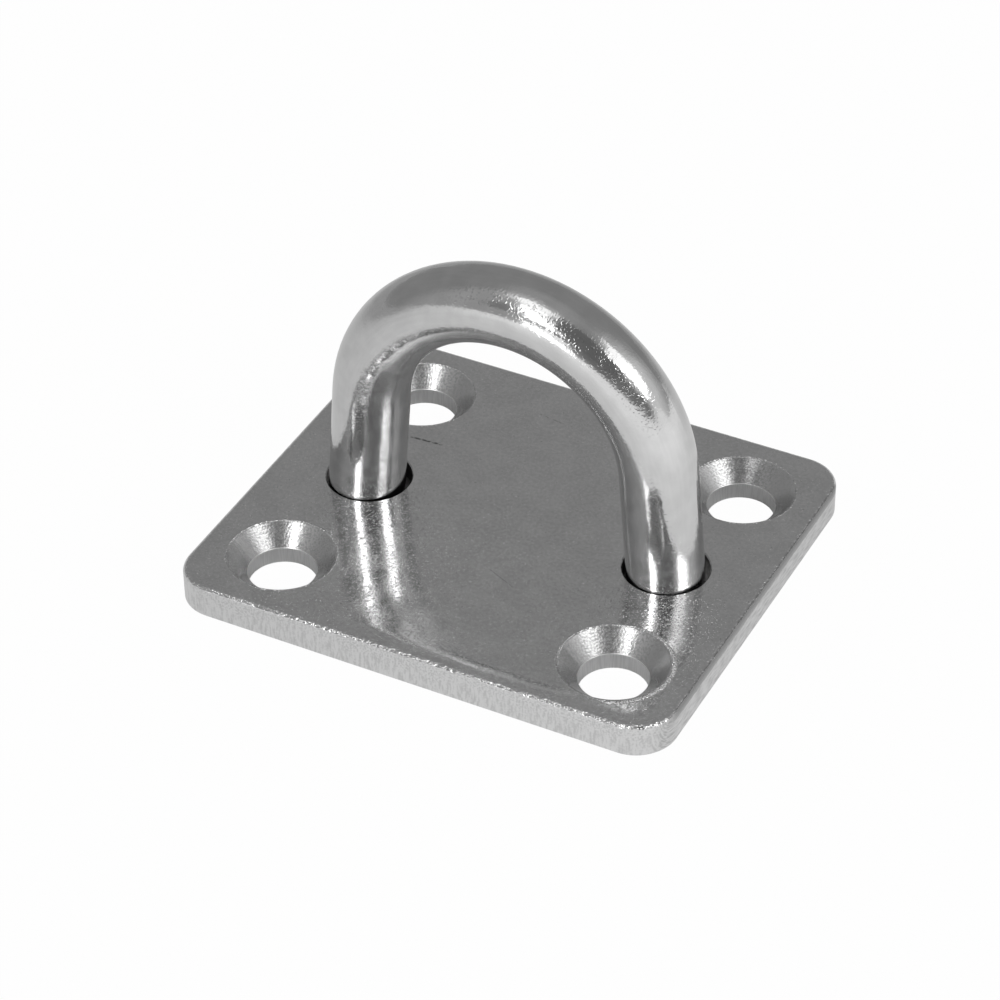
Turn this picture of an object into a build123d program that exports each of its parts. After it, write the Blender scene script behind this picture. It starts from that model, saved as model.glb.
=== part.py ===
from build123d import *
import os
from math import cos, radians, sin, tan

# Eye plate: a stamped plate with four countersunk screw holes, and a round bar bent
# into a bow whose legs pass down into the plate and are welded to it from below.
# Sizes are in millimetres. The origin is the middle of the plate's underside, with
# +X along the plate's longer side, which the bow spans, and +Z up.

# Base plate
plate_length = 40.0
plate_width = 34.5
plate_thickness = 2.8
plate_corner_radius = 3.2
top_edge_radius = 0.4
bottom_edge_break = 0.25

# Screw holes, one near each corner
screw_spacing_x = 27.4
screw_spacing_y = 22.4
screw_hole_diameter = 5.2
countersink_diameter = 8.2
countersink_angle = 90.0
hole_edge_break = 0.08

# Bow: the height is from the underside to the crown, the radius is to the bar's axis
bar_diameter = 5.9
bow_height = 25.35
bow_radius = 11.9
leg_splay = 4.5

# How each leg stands in its hole: the gaps along the plate are measured halfway down
# the hole's wall, and the holes lie a little behind the legs
outer_leg_gap = 0.23
inner_leg_gap = 0.44
leg_hole_setback = 0.24
weld_depth = 1.2
weld_groove_width = 0.9

# The bow's axis: an arc a little short of a half circle, with straight legs that
# carry on in its end directions, so they spread slightly on the way down
bar_radius = bar_diameter / 2
arc_centre_height = bow_height - bar_radius - bow_radius
splay = radians(leg_splay)
arc_end_x = bow_radius * cos(splay)
arc_end_height = arc_centre_height + bow_radius * sin(splay)


def leg_axis_x(height):
    """Distance of a leg's axis from the middle of the plate, at a height on the leg."""
    return arc_end_x + (arc_end_height - height) * tan(splay)


# Each leg hole is placed by the leg that stands in it, and both gaps set its size
leg_wall_middle = (plate_thickness + weld_depth) / 2
leg_half_width = bar_radius / cos(splay)
leg_hole_outer_x = leg_axis_x(leg_wall_middle) + leg_half_width + outer_leg_gap
leg_hole_inner_x = leg_axis_x(leg_wall_middle) - leg_half_width - inner_leg_gap
leg_hole_x = (leg_hole_outer_x + leg_hole_inner_x) / 2
leg_hole_radius = (leg_hole_outer_x - leg_hole_inner_x) / 2
weld_groove_radius = leg_hole_radius + weld_groove_width
leg_hole_places = [(-leg_hole_x, leg_hole_setback), (leg_hole_x, leg_hole_setback)]

os.makedirs("parts", exist_ok=True)


# Base plate: blanked from sheet, with its top edges rounded and its bottom edges broken,
# then drilled and countersunk
with BuildPart() as base_plate:
    with BuildSketch():
        RectangleRounded(plate_length, plate_width, plate_corner_radius)
    extrude(amount=plate_thickness)
    fillet(base_plate.faces().sort_by(Axis.Z)[-1].edges(), top_edge_radius)
    chamfer(base_plate.faces().sort_by(Axis.Z)[0].edges(), bottom_edge_break)

    # Screw holes, sunk from the top
    with Locations(Plane.XY.offset(plate_thickness)):
        with GridLocations(screw_spacing_x, screw_spacing_y, 2, 2):
            CounterSinkHole(
                screw_hole_diameter / 2,
                countersink_diameter / 2,
                counter_sink_angle=countersink_angle,
            )

    # Leg holes, straight through
    with Locations(Plane.XY.offset(plate_thickness)):
        with Locations(leg_hole_places):
            Hole(leg_hole_radius)

    # The rims of all six holes are broken where they meet the top face
    top_face = base_plate.faces().filter_by(Axis.Z).sort_by(Axis.Z)[-1]
    hole_rims = top_face.inner_wires().edges()
    chamfer(hole_rims, hole_edge_break)

    # Weld grooves, opened out from below round both leg holes
    with Locations(leg_hole_places):
        Cone(
            weld_groove_radius,
            leg_hole_radius,
            weld_depth,
            align=(Align.CENTER, Align.CENTER, Align.MIN),
            mode=Mode.SUBTRACT,
        )

base_plate.part.label = "base_plate"
export_step(base_plate.part, "parts/base_plate.step")


# Bow: one bar swept down its right leg's line, round the arc and down the left leg's,
# then ground off level with the plate's underside
with BuildPart() as bow:
    with BuildLine(Plane.XZ) as bow_axis:
        overrun = -bar_diameter
        foot_x = leg_axis_x(overrun)
        Line((foot_x, overrun), (arc_end_x, arc_end_height))
        CenterArc((0, arc_centre_height), bow_radius, leg_splay, 180 - 2 * leg_splay)
        Line((-arc_end_x, arc_end_height), (-foot_x, overrun))
    with BuildSketch(Plane(origin=bow_axis.line @ 0, z_dir=bow_axis.line % 0)):
        Circle(bar_radius)
    sweep(path=bow_axis.line)
    split(bisect_by=Plane.XY, keep=Keep.TOP)

bow.part.label = "bow"
export_step(bow.part, "parts/bow.step")


# Welds: each fills its groove round the leg, level with the underside
for place, name in zip(leg_hole_places, ("weld_left", "weld_right")):
    with BuildPart() as weld:
        with Locations(place):
            Cone(
                weld_groove_radius,
                leg_hole_radius,
                weld_depth,
                align=(Align.CENTER, Align.CENTER, Align.MIN),
            )
        add(bow.part, mode=Mode.SUBTRACT)

    weld.part.label = name
    export_step(weld.part, f"parts/{name}.step")
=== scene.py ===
from math import cos, pi, radians, sin

import bpy
import numpy as np
from mathutils import Matrix, Quaternion, Vector

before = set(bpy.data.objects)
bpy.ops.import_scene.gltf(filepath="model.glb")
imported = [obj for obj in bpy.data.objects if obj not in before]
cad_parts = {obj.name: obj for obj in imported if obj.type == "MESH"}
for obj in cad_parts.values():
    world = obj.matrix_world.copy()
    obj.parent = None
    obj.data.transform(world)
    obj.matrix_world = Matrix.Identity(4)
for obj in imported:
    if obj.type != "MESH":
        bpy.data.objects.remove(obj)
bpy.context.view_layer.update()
mm = 0.001
print("frame loaded:", ", ".join(sorted(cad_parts)))


# Small helpers for building node trees

def addNode(tree, kind, inputs=None, **settings):
    # One node: settings are its own properties, inputs are values or links for its sockets
    node = tree.nodes.new(kind)
    for name, value in settings.items():
        setattr(node, name, value)
    for key, value in (inputs or {}).items():
        socket = node.inputs[key]
        if isinstance(value, bpy.types.NodeSocket):
            tree.links.new(value, socket)
        else:
            socket.default_value = value
    return node


def calc(tree, operation, *values, clamp=False):
    # One Math node, its values given in order
    node = addNode(tree, "ShaderNodeMath", dict(enumerate(values)), operation=operation, use_clamp=clamp)
    return node.outputs[0]


def times(tree, first, *others):
    # The product of several values
    for value in others:
        first = calc(tree, "MULTIPLY", first, value)
    return first


def span(tree, x, y):
    # The distance between two points that lie x and y apart
    return calc(tree, "SQRT", calc(tree, "ADD", times(tree, x, x), times(tree, y, y)))


def vectorMath(tree, operation, *values):
    # One Vector Math node, its values given in order
    return addNode(tree, "ShaderNodeVectorMath", dict(enumerate(values)), operation=operation).outputs


def split(tree, vector):
    # The three parts of a vector, named X, Y and Z
    return addNode(tree, "ShaderNodeSeparateXYZ", {0: vector}).outputs


def neutral(tree, level):
    # A grey of one brightness
    return addNode(tree, "ShaderNodeCombineColor", {0: level, 1: level, 2: level}).outputs[0]


def fadeBetween(tree, value, low, high, outLow=0.0, outHigh=1.0):
    # Smooth step of a value, from outLow at low to outHigh at high
    return addNode(tree, "ShaderNodeMapRange", {"Value": value, "From Min": low, "From Max": high,
                                                "To Min": outLow, "To Max": outHigh},
                   interpolation_type="SMOOTHSTEP").outputs["Result"]


def noise(tree, vector, scale, detail=0, rough=0.5):
    # Fractal noise from 0 to 1, its scale in features per unit of the vector
    return addNode(tree, "ShaderNodeTexNoise", {
        "Vector": vector, "Scale": scale, "Detail": detail, "Roughness": rough}).outputs["Fac"]


def stretch(tree, vector, x, y, z):
    # A vector with each axis scaled by its own amount
    return vectorMath(tree, "MULTIPLY", vector, (x, y, z))[0]


def newGroup(name, inputs, outputs):
    # An empty shader node group, its sockets given as name: (kind, start value)
    group = bpy.data.node_groups.new(name, "ShaderNodeTree")
    for side, sockets in (("INPUT", inputs), ("OUTPUT", outputs)):
        for label, (kind, start) in sockets.items():
            socket = group.interface.new_socket(label, in_out=side, socket_type="NodeSocket" + kind)
            if start is not None:
                socket.default_value = start
    return group, group.nodes.new("NodeGroupInput").outputs, group.nodes.new("NodeGroupOutput").inputs


def useGroup(tree, group, **inputs):
    return addNode(tree, "ShaderNodeGroup", inputs, node_tree=group)


def emptyTree(owner):
    # The node tree of a material, lamp or world, with nothing in it
    owner.use_nodes = True
    owner.node_tree.nodes.clear()
    return owner.node_tree


def newMaterial(name):
    # A Principled material, and where its points lie on the piece, in metres
    material = bpy.data.materials.new(name)
    tree = emptyTree(material)
    shader = addNode(tree, "ShaderNodeBsdfPrincipled")
    tree.links.new(shader.outputs[0], addNode(tree, "ShaderNodeOutputMaterial").inputs["Surface"])
    place = addNode(tree, "ShaderNodeTexCoord").outputs["Object"]
    return material, tree, shader, place


# Shared effects. They work in millimetres, so that sizes and heights read as on a drawing

def inMillimetres(tree, place):
    return stretch(tree, place, 1000, 1000, 1000)


def blend(tree, mask, outside, inside):
    # One value where the mask is 0, another where it is 1
    return addNode(tree, "ShaderNodeMix", {0: mask, 2: outside, 3: inside}).outputs[0]


def tint(tree, mask, outside, inside):
    # The same for two colours
    return addNode(tree, "ShaderNodeMix", {0: mask, 6: outside, 7: inside}, data_type="RGBA").outputs[2]


def relief(tree, shader, height):
    # A height in millimetres, felt by the shader as bumps
    bump = addNode(tree, "ShaderNodeBump", {"Height": height, "Strength": 1.0, "Distance": mm})
    tree.links.new(bump.outputs[0], shader.inputs["Normal"])


def makeGrainGroup():
    # Polished steel seen close: small bumps standing on nearly flat ground, so that a reflection
    # keeps its core and breaks into dots at its edges. Mask marks the tops of the bumps. Tilt is
    # the slope of their flanks, so their height is tilt over size. Even is the share of plain noise
    group, given, made = newGroup("steelGrain", {
        "Vector": ("Vector", None), "Size": ("Float", 5.0), "Tilt": ("Float", 0.04),
        "Even": ("Float", 0.35)}, {"Height": ("Float", None), "Mask": ("Float", None)})
    raw = noise(group, given["Vector"], given["Size"])
    bumps = fadeBetween(group, raw, 0.55, 0.71)
    uneven = blend(group, given["Even"], bumps, raw)
    reach = calc(group, "DIVIDE", given["Tilt"], given["Size"])
    group.links.new(times(group, uneven, reach), made["Height"])
    group.links.new(bumps, made["Mask"])
    return group


def makeScratchGroup():
    # One straight scratch on the flat: a thin mask round a line, broken into dots by noise
    group, given, made = newGroup("scratchLine", {
        "Vector": ("Vector", None), "Middle": ("Vector", None), "Turn": ("Float", 0.0),
        "Length": ("Float", 2.0), "Width": ("Float", 0.1), "Gaps": ("Float", 0.5), "Dots": ("Float", 0.5)},
        {"Mask": ("Float", None)})
    moved = vectorMath(group, "SUBTRACT", given["Vector"], given["Middle"])[0]
    turned = addNode(group, "ShaderNodeVectorRotate", {"Vector": moved, "Angle": given["Turn"]},
                     rotation_type="Z_AXIS").outputs[0]
    parts = split(group, turned)
    along = calc(group, "DIVIDE", calc(group, "ABSOLUTE", parts["X"]), given["Length"])
    across = calc(group, "DIVIDE", calc(group, "ABSOLUTE", parts["Y"]), given["Width"])
    inLength = fadeBetween(group, along, 0.5, 0.38)
    inWidth = fadeBetween(group, across, 0.5, 0.15)
    dots = fadeBetween(group, given["Dots"], calc(group, "SUBTRACT", given["Gaps"], 0.06),
                       calc(group, "ADD", given["Gaps"], 0.06))
    group.links.new(times(group, inLength, inWidth, dots), made["Mask"])
    return group


grainGroup = makeGrainGroup()
scratchGroup = makeScratchGroup()


# Base plate

plate = {
    # The flat. Sizes of noise are in features per millimetre, tilts are slopes, depths millimetres
    "steel": 0.64, "roughness": 0.135,
    "grainSize": 6.25, "grainTilt": 0.105, "grainEven": 0.12,
    "cloudSize": 0.40, "mottleSize": 3.2, "speckleSize": 6.5,
    "waveTilt": 0.003, "mottling": 0.026, "pitDepth": 0.006, "pitDark": 0.16,
    "rollStart": 1.3, "rollSteepness": 0.095,   # the flat rolls over in its last 1.9 mm
    "scratchDepth": 0.012, "scratchDark": 0.12,

    # Its rounded top edge, which is nicked, and its sides. The ends carry painted shade near their top
    "edgeTilt": 0.16,
    "side": 0.65, "endSide": 0.55, "endPaintedShade": 0.27, "sideRoughness": 0.30, "sideTilt": 0.05,
    "streakSize": 4.6, "sideStreak": 0.22, "endStreak": 1.7, "endStretch": 0.2,

    # Countersinks, speckled darker on one side, in radians from +X, and their drilled walls
    "turned": 0.61, "coneRoughness": 0.26, "coneTilt": 0.030,
    "ringGap": 0.17, "ringDepth": 0.0005, "chatterTurns": 44, "chatterDepth": 0.0008,
    "speckledSide": 1.95, "speckles": 0.14,
    "drilled": 0.90, "wallRoughness": 0.32, "lineSize": 9.0, "lineDepth": 0.014,

    # Burrs round their rims, thin and heavy, the painted highlight on the heavy one, and the lip beside the
    # heavy one
    "burrMiddles": (4.17, 4.37), "burrReaches": (0.10, 0.26), "burrHeights": (0.055, 0.15),
    "burrSide": 0.22, "burrPaintedGlint": 0.95, "burrRoughness": 0.4, "burrDull": 0.85,
    "lipReach": 6.6, "lipSteepness": 0.020,

    # Where everything lies, millimetres, and the painted shade on the walls of the leg holes
    "halfFlatX": 16.8, "halfFlatY": 14.05, "cornerRadius": 3.2, "thickness": 2.8,
    "holeX": 13.7, "holeY": 11.2, "holeRadius": 2.6, "sinkRadius": 4.12,
    "legHoleX": 12.34, "legHoleY": 0.24, "legHoleRadius": 3.29,
    "legHoleShade": 0.04, "legHoleShadeRoughness": 0.6,

    "scratches": [   # middle, turn in degrees, length, width, gaps
        ((-10.6, 5.94, 2.8), 3.5, 2.9, 0.27, 0.44),
        ((2.2, -6.4, 2.8), -24, 3.0, 0.07, 0.52),
        ((6.9, 9.6, 2.8), 14, 3.8, 0.06, 0.54),
        ((-3.4, 12.8, 2.8), -8, 3.0, 0.07, 0.53),
        ((12.6, -5.4, 2.8), 68, 2.4, 0.06, 0.52),
    ],
}


def makePlateZones():
    # Where a point of the plate lies, in millimetres: Edge is the way in from the outline, Hole and
    # Leg the way from the nearest screw hole's and leg hole's axis. Turn is the angle round that
    # screw hole, mirrored from hole to hole, and Sweep the same angle, counted from +X. Roll is how
    # far the flat has sunk near its outline: steepness / 2 * (past - start)^2
    group, given, made = newGroup("plateZones", {"Vector": ("Vector", None)}, {
        name: ("Float", None) for name in ("Edge", "Roll", "Hole", "Turn", "Sweep", "Leg")})
    parts = split(group, vectorMath(group, "ABSOLUTE", given["Vector"])[0])
    pastX = calc(group, "MAXIMUM", calc(group, "SUBTRACT", parts["X"], plate["halfFlatX"]), 0.0)
    pastY = calc(group, "MAXIMUM", calc(group, "SUBTRACT", parts["Y"], plate["halfFlatY"]), 0.0)
    past = span(group, pastX, pastY)
    group.links.new(calc(group, "SUBTRACT", plate["cornerRadius"], past), made["Edge"])
    bend = calc(group, "MAXIMUM", calc(group, "SUBTRACT", past, plate["rollStart"]), 0.0)
    group.links.new(times(group, bend, bend, plate["rollSteepness"] / 2), made["Roll"])
    awayX = calc(group, "SUBTRACT", parts["X"], plate["holeX"])
    awayY = calc(group, "SUBTRACT", parts["Y"], plate["holeY"])
    group.links.new(span(group, awayX, awayY), made["Hole"])
    group.links.new(calc(group, "ARCTAN2", awayY, awayX), made["Turn"])
    signs = split(group, vectorMath(group, "SIGN", given["Vector"])[0])
    group.links.new(calc(group, "ARCTAN2", times(group, awayY, signs["Y"]), times(group, awayX, signs["X"])),
                    made["Sweep"])
    legX = calc(group, "SUBTRACT", parts["X"], plate["legHoleX"])
    legY = calc(group, "SUBTRACT", split(group, given["Vector"])["Y"], plate["legHoleY"])
    group.links.new(span(group, legX, legY), made["Leg"])
    return group


def makePlateSteel():
    material, tree, shader, place = newMaterial("plateSteel")
    at = inMillimetres(tree, place)
    parts = split(tree, at)
    zones = useGroup(tree, makePlateZones(), Vector=at).outputs
    thickness, holeRadius, sinkRadius = plate["thickness"], plate["holeRadius"], plate["sinkRadius"]
    upper = fadeBetween(tree, parts["Z"], 2.2, 2.45)
    lowered = fadeBetween(tree, parts["Z"], thickness - 0.03, thickness - 0.07)
    side = times(tree, fadeBetween(tree, zones["Edge"], 0.10, 0.02), lowered)
    rounded = times(tree, fadeBetween(tree, zones["Edge"], 0.42, 0.22), upper)
    cone = times(tree, fadeBetween(tree, zones["Hole"], sinkRadius + 0.02, sinkRadius - 0.05), lowered)
    wall = fadeBetween(tree, zones["Hole"], holeRadius + 0.06, holeRadius + 0.01)

    # Three noises serve several zones: slow clouds, mottling and fine speckle
    cloud = noise(tree, at, plate["cloudSize"], detail=1)
    mottle = noise(tree, at, plate["mottleSize"], detail=1, rough=0.6)
    speckle = noise(tree, at, plate["speckleSize"])

    # The flat: fine grain over a slight unevenness, and a few pits
    grain = useGroup(tree, grainGroup, Vector=at, Size=plate["grainSize"], Tilt=plate["grainTilt"],
                     Even=plate["grainEven"])
    waves = times(tree, cloud, 4.0 * plate["waveTilt"])
    pits = fadeBetween(tree, mottle, 0.70, 0.76)
    height = calc(tree, "SUBTRACT", calc(tree, "ADD", grain.outputs["Height"], waves),
                  times(tree, pits, plate["pitDepth"]))

    # The rounded edge: nicked along the front, most at the right, and cleaner elsewhere
    nicks = times(tree, fadeBetween(tree, mottle, 0.42, 0.72), plate["edgeTilt"] / plate["mottleSize"])
    inFront = fadeBetween(tree, parts["Y"], -13.5, -16.5, 0.12, 1.0)
    toRight = fadeBetween(tree, parts["X"], -15.0, 0.0, 0.3, 1.3)
    height = calc(tree, "ADD", height, times(tree, rounded, inFront, toRight, nicks))

    # The sheared sides: speckle, and short streaks that run down the front and along the ends
    ends = fadeBetween(tree, calc(tree, "ABSOLUTE", parts["X"]), 19.0, 19.9)
    grainWay = addNode(tree, "ShaderNodeCombineXYZ", {
        0: parts["X"], 1: times(tree, parts["Y"], plate["endStretch"]),
        2: times(tree, parts["Z"], blend(tree, ends, plate["sideStreak"], plate["endStreak"]))}).outputs[0]
    streaks = noise(tree, grainWay, plate["streakSize"], detail=1, rough=0.65)
    low = fadeBetween(tree, calc(tree, "ADD", parts["Z"], times(tree, cloud, 3.0)), 3.9, 2.9)
    streaked = calc(tree, "ADD", times(tree, low, 0.5), blend(tree, ends, 0.25, 0.6))
    rubbed = blend(tree, streaked, speckle, streaks)
    height = blend(tree, side, height, times(tree, rubbed, 0.36 * plate["sideTilt"]))

    # The countersinks: turned rings, crossed by slight chatter, and speckled, most on one side
    rings = calc(tree, "SINE", calc(tree, "ADD", times(tree, zones["Hole"], 2 * pi / plate["ringGap"]),
                                    times(tree, cloud, 30.0)))
    chatter = calc(tree, "SINE", calc(tree, "ADD", times(tree, zones["Turn"], plate["chatterTurns"]),
                                      times(tree, cloud, 60.0)))
    turned = calc(tree, "ADD", times(tree, rings, plate["ringDepth"]),
                  times(tree, chatter, plate["chatterDepth"]))
    farSide = calc(tree, "COSINE", calc(tree, "SUBTRACT", zones["Sweep"], plate["speckledSide"]))
    farSide = fadeBetween(tree, farSide, 0.60, 0.97, 0.35, 1.0)
    coneGrain = times(tree, speckle, 1.8 * plate["coneTilt"] / plate["speckleSize"])
    height = blend(tree, cone, height, calc(tree, "ADD", turned, coneGrain))

    # The drilled walls: fine lines that run down
    drilled = noise(tree, stretch(tree, at, 1, 1, 0.08), plate["lineSize"])
    height = blend(tree, wall, height, times(tree, drilled, plate["lineDepth"]))

    # Each countersink left a thin burr round its rim; the front right one a heavier, jagged one
    frontRight = times(tree, fadeBetween(tree, parts["X"], 8.0, 13.0),
                       fadeBetween(tree, parts["Y"], -6.0, -9.5))
    facingBurr = calc(tree, "COSINE", calc(tree, "SUBTRACT", zones["Sweep"], plate["burrSide"]))
    heavy = times(tree, frontRight, fadeBetween(tree, facingBurr, -0.15, 0.2))
    burrMiddle, burrReach, burrHeight = [blend(tree, heavy, *plate[name])
                                         for name in ("burrMiddles", "burrReaches", "burrHeights")]
    ring = calc(tree, "ABSOLUTE", calc(tree, "SUBTRACT", zones["Hole"], burrMiddle))
    burr = times(tree, fadeBetween(tree, ring, burrReach, 0.0),
                 calc(tree, "GREATER_THAN", parts["Z"], thickness - 0.12))
    jagged = fadeBetween(tree, speckle, 0.38, 0.60, 0.2, 1.0)
    height = calc(tree, "ADD", height, times(tree, jagged, burrHeight, burr))
    heavyBurr = times(tree, burr, heavy, fadeBetween(tree, speckle, 0.40, 0.55, 0.25, 1.0))

    # The lip that the front right countersink raised, steepness / 2 * (reach - away)^2, and the
    # roll of the whole flat
    lip = calc(tree, "MAXIMUM", calc(tree, "SUBTRACT", plate["lipReach"], zones["Hole"]), 0.0)
    raised = times(tree, lip, lip, plate["lipSteepness"] / 2, frontRight)
    height = calc(tree, "ADD", height, calc(tree, "SUBTRACT", raised, zones["Roll"]))

    # Scratches, dark and slightly sunk
    marks = 0.0
    for middle, turn, length, width, gaps in plate["scratches"]:
        line = useGroup(tree, scratchGroup, Vector=at, Middle=middle, Turn=radians(-turn), Length=length,
                        Width=width, Gaps=gaps, Dots=mottle).outputs["Mask"]
        marks = calc(tree, "MAXIMUM", marks, line)
    marks = times(tree, marks, calc(tree, "GREATER_THAN", parts["Z"], thickness - 0.01))
    height = calc(tree, "SUBTRACT", height, times(tree, marks, plate["scratchDepth"]))
    relief(tree, shader, height)

    # Brightness of each zone. The flat is cloudy, mottled and pitted
    steel = fadeBetween(tree, cloud, 0.35, 0.65, plate["steel"] * 0.965, plate["steel"] * 1.025)
    mottled = fadeBetween(tree, mottle, 0.3, 0.7, -plate["mottling"], plate["mottling"])
    steel = calc(tree, "SUBTRACT", calc(tree, "ADD", steel, mottled), times(tree, pits, plate["pitDark"]))
    # Painted highlight: the heavy burr is painted near white and made mostly non-metallic, so that it shows
    # as a bright ring
    steel = blend(tree, heavyBurr, steel, plate["burrPaintedGlint"])
    darkest = blend(tree, ends, plate["side"] - 0.10, plate["endSide"] - 0.13)
    lightest = blend(tree, ends, plate["side"] + 0.03, plate["endSide"] + 0.05)
    steel = blend(tree, side, steel, fadeBetween(tree, rubbed, 0.34, 0.60, darkest, lightest))

    # Painted shade on the ends' upper part, down to a ragged line
    ragged = calc(tree, "ADD", parts["Z"], times(tree, speckle, 0.3))
    paintedEndShade = times(tree, fadeBetween(tree, calc(tree, "ABSOLUTE", parts["X"]), 19.65, 19.8),
                   fadeBetween(tree, parts["Y"], -15.5, -13.5),
                   fadeBetween(tree, ragged, 2.18, 2.34), fadeBetween(tree, parts["Z"], 2.79, 2.67))
    steel = blend(tree, paintedEndShade, steel, plate["endPaintedShade"])

    # Countersinks, drilled walls, scratches, and painted shade on the leg holes' walls
    darker = times(tree, farSide, fadeBetween(tree, speckle, 0.42, 0.66), plate["speckles"])
    steel = blend(tree, cone, steel, calc(tree, "SUBTRACT", plate["turned"], darker))
    wallSteel = fadeBetween(tree, drilled, 0.35, 0.65, plate["drilled"] - 0.08, plate["drilled"])
    steel = blend(tree, wall, steel, wallSteel)
    steel = blend(tree, times(tree, marks, 0.9), steel, plate["scratchDark"])
    legRadius = plate["legHoleRadius"]
    # Painted shade: the leg holes' walls are painted near black and made dull, for the shadow in the gap
    # round each leg
    legHoleShadeMask = times(tree, fadeBetween(tree, zones["Leg"], legRadius + 0.03, legRadius + 0.01),
                 fadeBetween(tree, parts["Z"], thickness - 0.05, thickness - 0.2))
    steel = blend(tree, legHoleShadeMask, steel, plate["legHoleShade"])
    tree.links.new(neutral(tree, steel), shader.inputs["Base Color"])

    # Roughness, and where the metal is dull: the painted shade in the leg holes and the painted highlight on
    # the heavy burr
    roughness = fadeBetween(tree, cloud, 0.3, 0.7, plate["roughness"] * 0.85, plate["roughness"] * 1.2)
    for zone, name in ((heavyBurr, "burrRoughness"), (side, "sideRoughness"), (cone, "coneRoughness"),
                       (wall, "wallRoughness"), (legHoleShadeMask, "legHoleShadeRoughness")):
        roughness = blend(tree, zone, roughness, plate[name])
    tree.links.new(roughness, shader.inputs["Roughness"])
    dull = calc(tree, "MAXIMUM", legHoleShadeMask, times(tree, heavyBurr, plate["burrDull"]))
    tree.links.new(calc(tree, "SUBTRACT", 1.0, dull), shader.inputs["Metallic"])
    shader.inputs["Specular IOR Level"].default_value = 0.1
    return material


# Bow

bow = {
    "steel": 0.62, "roughness": 0.125,
    "arcHeight": 10.5, "arcRadius": 11.9,   # its axis, millimetres

    # Sizes of noise in features per millimetre, and tilts, which are slopes
    "peelSize": 5.8, "peelTilt": 0.060, "peelEven": 0.35, "spotDark": 0.16,   # the stretched skin
    "skinTilt": 0.016,                                                        # the rest of it
    "cloudSize": 0.7, "waveTilt": 0.010,
    "lineSize": 4.0, "lineTilt": 0.006,                                       # along the bar
}


def makeBarPlace():
    # Where a point lies on the bent bar, in millimetres: out from the axis and sideways across
    # the bar, and the way along it, which is angle times radius on the arc and height on a leg
    group, given, made = newGroup("barPlace", {"Vector": ("Vector", None)}, {
        "Bar": ("Vector", None), "Out": ("Float", None)})
    parts = split(group, given["Vector"])
    rise = calc(group, "SUBTRACT", parts["Z"], bow["arcHeight"])
    above = calc(group, "MAXIMUM", rise, 0.0)
    below = calc(group, "MAXIMUM", times(group, rise, -1.0), 0.0)
    out = calc(group, "SUBTRACT", span(group, parts["X"], above), bow["arcRadius"])
    bend = times(group, calc(group, "ARCTAN2", above, parts["X"]), bow["arcRadius"])
    along = calc(group, "SUBTRACT", bend, times(group, below, calc(group, "SIGN", parts["X"])))
    onBar = addNode(group, "ShaderNodeCombineXYZ", {0: out, 1: parts["Y"], 2: along}).outputs[0]
    group.links.new(onBar, made["Bar"])
    group.links.new(out, made["Out"])
    return group


def makeBowSteel():
    material, tree, shader, place = newMaterial("bowSteel")
    at = inMillimetres(tree, place)
    bar = useGroup(tree, makeBarPlace(), Vector=at).outputs
    across = split(tree, bar["Bar"])

    # Orange peel in patches on the outside of the bend, mostly right of its crown and on the front
    stretched = times(tree, fadeBetween(tree, across["Y"], -1.4, -1.9),
                      fadeBetween(tree, across["Y"], -2.72, -2.45),
                      fadeBetween(tree, across["Z"], 4.5, 8.5), fadeBetween(tree, across["Z"], 24.0, 17.5),
                      fadeBetween(tree, bar["Out"], 0.3, 1.1))

    # A strip of small wrinkles down the front of the bend's left half
    wrinkled = times(tree, fadeBetween(tree, bar["Out"], -0.15, -0.45),
                     fadeBetween(tree, across["Y"], -2.55, -2.8),
                     fadeBetween(tree, across["Z"], 25.0, 28.0),
                     fadeBetween(tree, across["Z"], 46.0, 41.0, 0.0, 0.5))
    cloud = noise(tree, at, bow["cloudSize"], detail=1)
    patchy = times(tree, calc(tree, "MAXIMUM", stretched, wrinkled), fadeBetween(tree, cloud, 0.30, 0.52))
    tilt = blend(tree, patchy, bow["skinTilt"], bow["peelTilt"])
    peel = useGroup(tree, grainGroup, Vector=at, Size=bow["peelSize"], Tilt=tilt, Even=bow["peelEven"])
    waves = times(tree, cloud, 1.8 * bow["waveTilt"] / bow["cloudSize"])
    lines = noise(tree, stretch(tree, bar["Bar"], 1, 1, 0.12), bow["lineSize"], detail=1)
    lineHeight = times(tree, lines, 1.8 * bow["lineTilt"] / bow["lineSize"])
    relief(tree, shader, calc(tree, "ADD", calc(tree, "ADD", peel.outputs["Height"], waves), lineHeight))

    # Brightness, with slight clouds and lines
    steel = fadeBetween(tree, cloud, 0.3, 0.7, bow["steel"] * 0.96, bow["steel"] * 1.03)
    steel = calc(tree, "ADD", steel, fadeBetween(tree, lines, 0.3, 0.7, -0.008, 0.008))
    spots = times(tree, peel.outputs["Mask"], patchy, bow["spotDark"])
    tree.links.new(neutral(tree, calc(tree, "SUBTRACT", steel, spots)), shader.inputs["Base Color"])
    tree.links.new(fadeBetween(tree, cloud, 0.3, 0.7, bow["roughness"] * 0.8, bow["roughness"] * 1.25),
                   shader.inputs["Roughness"])
    shader.inputs["Metallic"].default_value = 1.0
    return material


# Welds

weld = {
    "colour": (0.46, 0.455, 0.45), "spotColour": (0.3, 0.29, 0.28), "roughness": 0.34,
    "grainSize": 2.6, "grainTilt": 0.10, "grainEven": 0.7,
    "groundSize": 5.0, "groundStretch": 0.15, "groundDepth": 0.03,   # marks of grinding, along X
}


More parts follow.
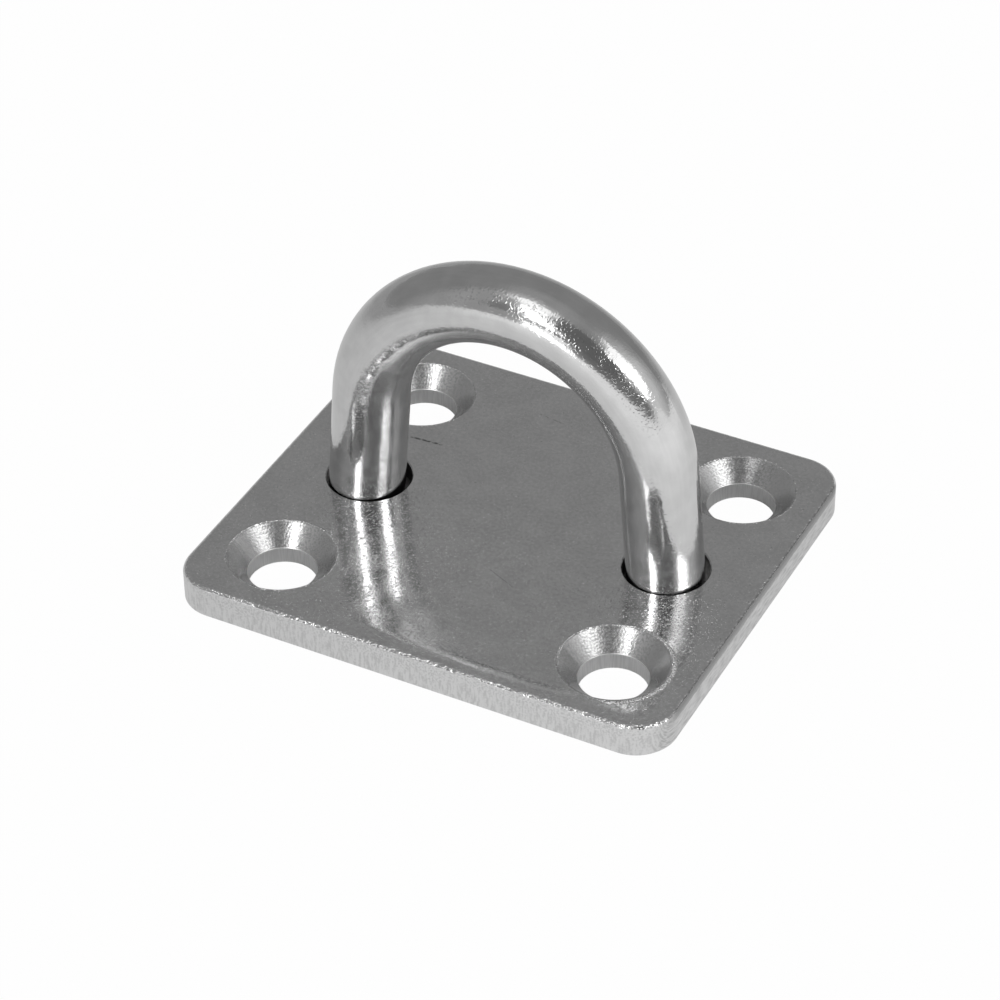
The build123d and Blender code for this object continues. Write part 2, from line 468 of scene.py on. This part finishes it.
def makeWeldSteel():
    material, tree, shader, place = newMaterial("weldSteel")
    at = inMillimetres(tree, place)
    grain = useGroup(tree, grainGroup, Vector=at, Size=weld["grainSize"], Tilt=weld["grainTilt"],
                     Even=weld["grainEven"])
    ground = noise(tree, stretch(tree, at, weld["groundStretch"], 1, 1), weld["groundSize"], detail=2)
    groundHeight = times(tree, ground, weld["groundDepth"])
    relief(tree, shader, calc(tree, "ADD", grain.outputs["Height"], groundHeight))
    tree.links.new(tint(tree, grain.outputs["Mask"], (*weld["colour"], 1), (*weld["spotColour"], 1)),
                   shader.inputs["Base Color"])
    tree.links.new(fadeBetween(tree, ground, 0.3, 0.7, weld["roughness"] * 0.85, weld["roughness"] * 1.2),
                   shader.inputs["Roughness"])
    shader.inputs["Metallic"].default_value = 1.0
    return material


finishes = {"base_plate": makePlateSteel(), "bow": makeBowSteel()}
finishes["weld_left"] = finishes["weld_right"] = makeWeldSteel()
for name, finish in finishes.items():
    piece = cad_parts[name]
    for holder in piece.material_slots:
        holder.material = finish
print("steel finishes set")


# Floor: a wide shallow dish, flat in the middle and turned up at its rim

floorPlan = {
    "flatRadius": 0.55, "rimRadius": 0.95, "rimHeight": 0.11,
    "turns": 96, "rings": 40,
    "sunk": 0.00001,             # just under the plate
    "paper": 0.85,
    "whiteShare": 0.98,          # how much of the floor's white needs no light, as the camera sees it
    "mirroredShare": 0.85,       # the same, as the steel mirrors it
    "coveredShare": 0.08,        # the same, under the plate, where its shadow stays
    "plateX": 0.020, "plateY": 0.01725,
    "leftWay": (-0.866, 0.5, 0), "backWay": (-0.707, 0.707, 0),
    "nearTones": (0.88, 1.12),   # painted light: how bright the floor left and right of the object looks in the steel
    "farTone": 0.52,             # painted falloff of light: how much dimmer it is far behind
    "coveredTone": 0.7,          # and painted shade on the floor under the plate
}


def makeFloor():
    # Revolved profile: height = rimHeight * t^2, where t runs from 0 at flatRadius to 1 at rimRadius
    turns = floorPlan["turns"]
    slope = np.linspace(floorPlan["flatRadius"], floorPlan["rimRadius"], floorPlan["rings"])
    radius = np.concatenate([[0.0], slope])
    sloped = floorPlan["rimRadius"] - floorPlan["flatRadius"]
    t = np.clip((radius - floorPlan["flatRadius"]) / sloped, 0, 1)
    angle = np.linspace(0, 2 * pi, turns, endpoint=False)
    x, y = np.outer(radius, np.cos(angle)), np.outer(radius, np.sin(angle))
    z = np.outer(floorPlan["rimHeight"] * t ** 2, np.ones(turns)) - floorPlan["sunk"]
    points = np.stack([x, y, z], axis=-1).reshape(-1, 3)
    ring, step = np.meshgrid(np.arange(len(radius) - 1), np.arange(turns), indexing="ij")
    ring, step = ring.ravel(), step.ravel()
    after = (step + 1) % turns
    quads = np.stack([ring * turns + step, (ring + 1) * turns + step,
                      (ring + 1) * turns + after, ring * turns + after], axis=-1)
    mesh = bpy.data.meshes.new("floor")
    mesh.from_pydata(points.tolist(), [], quads.tolist())
    mesh.shade_smooth()
    floor = bpy.data.objects.new("floor", mesh)
    bpy.context.scene.collection.objects.link(floor)

    # The camera sees nearly white paper. The steel mirrors it in painted tones: painted light brighter right
    # of the object, dimmer far behind, and painted shade under the plate
    material = bpy.data.materials.new("whiteFloor")
    tree = emptyTree(material)
    rays = addNode(tree, "ShaderNodeLightPath").outputs
    place = addNode(tree, "ShaderNodeTexCoord").outputs["Object"]
    parts = split(tree, vectorMath(tree, "ABSOLUTE", place)[0])
    outside = calc(tree, "MAXIMUM", calc(tree, "SUBTRACT", parts["X"], floorPlan["plateX"]),
                   calc(tree, "SUBTRACT", parts["Y"], floorPlan["plateY"]))
    bare = fadeBetween(tree, outside, -0.0035, -0.0005)
    mirrored = blend(tree, bare, floorPlan["coveredShare"], floorPlan["mirroredShare"])
    left = vectorMath(tree, "DOT_PRODUCT", place, floorPlan["leftWay"])["Value"]
    back = vectorMath(tree, "DOT_PRODUCT", place, floorPlan["backWay"])["Value"]
    aside = fadeBetween(tree, left, -0.08, 0.04, floorPlan["nearTones"][1], floorPlan["nearTones"][0])
    tone = neutral(tree, times(tree, aside, blend(tree, bare, floorPlan["coveredTone"], 1.0),
                               fadeBetween(tree, back, -0.12, 0.22, 1.0, floorPlan["farTone"])))
    glow = addNode(tree, "ShaderNodeEmission", {"Color": tone, "Strength": 1.0}).outputs[0]
    white = addNode(tree, "ShaderNodeEmission", {"Color": (1, 1, 1, 1), "Strength": 1.0}).outputs[0]
    paper = addNode(tree, "ShaderNodeBsdfDiffuse", {"Color": (floorPlan["paper"],) * 3 + (1,)}).outputs[0]
    seen = addNode(tree, "ShaderNodeMixShader", {0: floorPlan["whiteShare"], 1: paper, 2: white}).outputs[0]
    tinted = addNode(tree, "ShaderNodeBsdfDiffuse", {
        "Color": tint(tree, 1.0 - floorPlan["paper"], tone, (0, 0, 0, 1))}).outputs[0]
    inSteel = addNode(tree, "ShaderNodeMixShader", {0: mirrored, 1: tinted, 2: glow}).outputs[0]
    lit = addNode(tree, "ShaderNodeMixShader", {0: rays["Is Glossy Ray"], 1: paper, 2: inSteel}).outputs[0]
    straight = calc(tree, "ADD", rays["Is Camera Ray"], rays["Is Transmission Ray"], clamp=True)
    mixed = addNode(tree, "ShaderNodeMixShader", {0: straight, 1: lit, 2: seen})
    tree.links.new(mixed.outputs[0], addNode(tree, "ShaderNodeOutputMaterial").inputs["Surface"])
    mesh.materials.append(material)


makeFloor()


# Room and lamps. Directions are azimuth from -Y towards +X, and height above the floor, in degrees

room = {
    "grey": 0.295, "overhead": 0.385,
    "horizonDim": 0.32, "horizonBright": 1.03, "brightWay": 40,
    "patches": [   # azimuth, height, half width, half height, softness, brightness
        (-30, 42, 32, 60, 0.9, 0.42),     # glow left of the front softbox
        (-14, 72, 46, 13, 1.0, 0.60),     # glow over it
        (-12, 67.5, 27, 8.5, 0.8, 1.6),   # and its brightest part
        (92, 26, 34, 27, 1.2, 0.78),      # glow right of the side softbox
        (86, 7, 15, 6, 0.8, 1.05),        # and the brighter wall under it
        (30, 37, 24, 29, 0.25, 0.17),     # the dark end of the room, between the lamps
        (40, 15.5, 33, 7.5, 0.4, 0.21),   # its foot
        (-26, 33, 7, 9, 0.5, 0.26),       # a dark edge beside the front softbox
    ],
}
softboxes = {
    "softboxFront": {"azimuth": -4.0, "height": 45.5, "lean": 7, "distance": 0.8,
                     "width": 0.208, "tall": 0.45, "glow": 9.0, "edgeGlow": 1.1},
    "softboxStrip": {"azimuth": -5, "height": 13, "lean": 0, "distance": 0.8,
                     "width": 0.19, "tall": 0.27, "glow": 3.6, "edgeGlow": 1.0},
    "softboxSide": {"azimuth": 80.8, "height": 37.5, "lean": 20, "distance": 0.8,
                    "width": 0.352, "tall": 0.435, "glow": 6.2, "edgeGlow": 1.0},
}


def direction(azimuth, height):
    # The unit vector towards an azimuth and a height
    a, h = radians(azimuth), radians(height)
    return Vector((sin(a) * cos(h), -cos(a) * cos(h), sin(h)))


def makeRoom():
    world = bpy.data.worlds.new("greyRoom")
    bpy.context.scene.world = world
    tree = emptyTree(world)
    toward = addNode(tree, "ShaderNodeTexCoord").outputs["Generated"]
    parts = split(tree, toward)
    height = calc(tree, "DEGREES", calc(tree, "ARCSINE", parts["Z"]))
    azimuth = calc(tree, "DEGREES", calc(tree, "ARCTAN2", parts["X"], times(tree, parts["Y"], -1.0)))
    level = fadeBetween(tree, height, 60, 80, room["grey"], room["overhead"])
    facing = vectorMath(tree, "DOT_PRODUCT", toward, direction(room["brightWay"], 0))["Value"]
    horizon = fadeBetween(tree, facing, -0.25, 0.95, room["horizonDim"], room["horizonBright"])

    # Each patch is an ellipse: away is the distance from its middle, over its half width and height
    angles = addNode(tree, "ShaderNodeCombineXYZ", {0: azimuth, 1: height}).outputs[0]
    for centre, middle, wide, tall, soft, bright in room["patches"]:
        offset = vectorMath(tree, "MULTIPLY_ADD", angles, (1 / wide, 1 / tall, 0),
                            (-centre / wide, -middle / tall, 0))[0]
        away = vectorMath(tree, "LENGTH", offset)["Value"]
        level = blend(tree, fadeBetween(tree, away, 1 + soft / 2, 1 - soft / 2), level, bright)
    level = blend(tree, fadeBetween(tree, height, 10.5, 2), level, horizon)
    seenByCamera = addNode(tree, "ShaderNodeLightPath").outputs["Is Camera Ray"]
    back = addNode(tree, "ShaderNodeBackground", {
        "Color": (1, 1, 1, 1), "Strength": blend(tree, seenByCamera, level, 1.0)})
    tree.links.new(back.outputs[0], addNode(tree, "ShaderNodeOutputWorld").inputs["Surface"])


def makeSoftbox(name, plan):
    lamp = bpy.data.lights.new(name, "AREA")
    lamp.shape, lamp.size, lamp.size_y = "RECTANGLE", plan["width"], plan["tall"]
    lamp.energy = pi * plan["width"] * plan["tall"] * plan["glow"]
    holder = bpy.data.objects.new(name, lamp)
    bpy.context.scene.collection.objects.link(holder)
    way = direction(plan["azimuth"], plan["height"])
    holder.location = way * plan["distance"]
    lean = Quaternion((0, 0, 1), radians(plan["lean"]))
    holder.rotation_euler = (way.to_track_quat("Z", "Y") @ lean).to_euler()
    holder.visible_camera = False

    # Cloth front: brightest in the middle, dimmer at its edges. Across and up run from 0 to 1
    tree = emptyTree(lamp)
    parts = split(tree, addNode(tree, "ShaderNodeNewGeometry").outputs["Parametric"])
    across = parts["Y"]
    up = calc(tree, "SUBTRACT", calc(tree, "SUBTRACT", 1.0, parts["X"]), across)
    inAcross = fadeBetween(tree, calc(tree, "ABSOLUTE", calc(tree, "SUBTRACT", across, 0.5)), 0.5, 0.34)
    inUp = fadeBetween(tree, calc(tree, "ABSOLUTE", calc(tree, "SUBTRACT", up, 0.5)), 0.5, 0.32)
    strength = blend(tree, times(tree, inAcross, inUp), plan["edgeGlow"] / plan["glow"], 1.0)
    cloth = addNode(tree, "ShaderNodeEmission", {"Color": (1, 1, 1, 1), "Strength": strength})
    tree.links.new(cloth.outputs[0], addNode(tree, "ShaderNodeOutputLight").inputs["Surface"])


makeRoom()
for name, plan in softboxes.items():
    makeSoftbox(name, plan)
print("floor, room and lamps set")


# Camera: the photograph's place and lens, with its centre at the picture's centre

view = {
    "place": (0.0976192, -0.1898848, 0.1725387),
    "azimuth": 27.484, "down": 38.141, "roll": -0.64, "lens": 130.7,
}


def makeCamera():
    cameraData = bpy.data.cameras.new("camera")
    cameraData.sensor_width = 36
    cameraData.lens = view["lens"]
    cameraData.clip_start, cameraData.clip_end = 0.01, 10
    camera = bpy.data.objects.new("camera", cameraData)
    bpy.context.scene.collection.objects.link(camera)
    back = direction(view["azimuth"], view["down"])
    turn = back.to_track_quat("Z", "Y").to_matrix() @ Matrix.Rotation(radians(view["roll"]), 3, "Z")
    camera.matrix_world = Matrix.Translation(view["place"]) @ turn.to_4x4()
    bpy.context.scene.camera = camera


makeCamera()
scene = bpy.context.scene
scene.view_settings.view_transform = "Standard"
